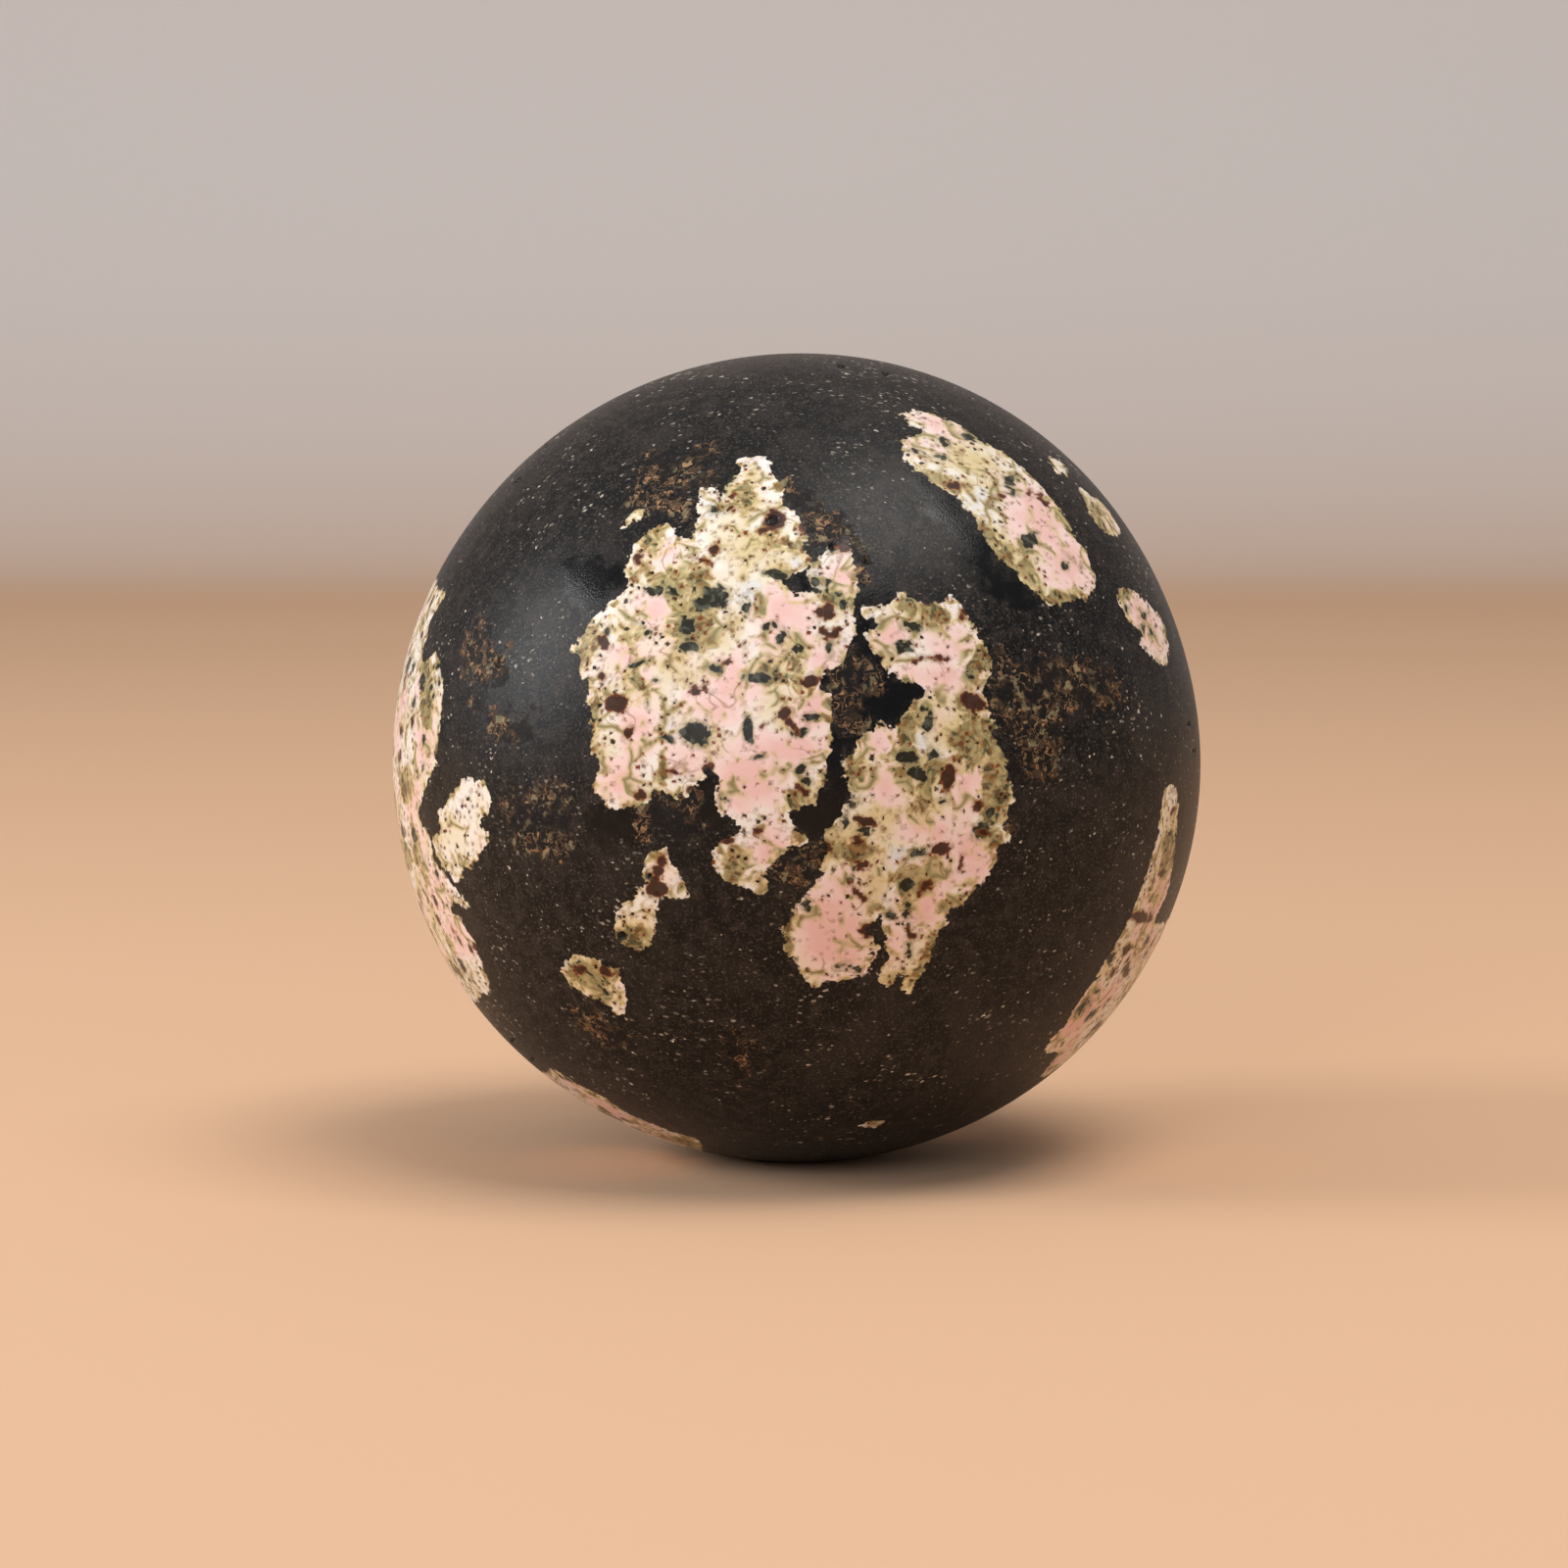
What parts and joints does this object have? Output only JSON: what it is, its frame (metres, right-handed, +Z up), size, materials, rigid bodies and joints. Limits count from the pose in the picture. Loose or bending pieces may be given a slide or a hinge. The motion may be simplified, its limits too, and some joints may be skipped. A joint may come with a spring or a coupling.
{
  "type": "rhodonite sphere",
  "caption": "Polished ball of pink rhodonite in black manganese oxide, with a small flat ground underneath to stand on.",
  "frame": {"origin": "middle of the flat underneath, on the surface that the ball stands on", "axes": "+Z up through the ball's middle; -Y towards the side shown in the picture, with the large pink patches; +X to that side's right"},
  "size_m": [0.06, 0.06, 0.0597],
  "materials": {
    "polished_rhodonite": "satin"
  },
  "bodies": {
    "root": {"rhodonite_ball": "polished_rhodonite"}
  },
  "joints": []
}
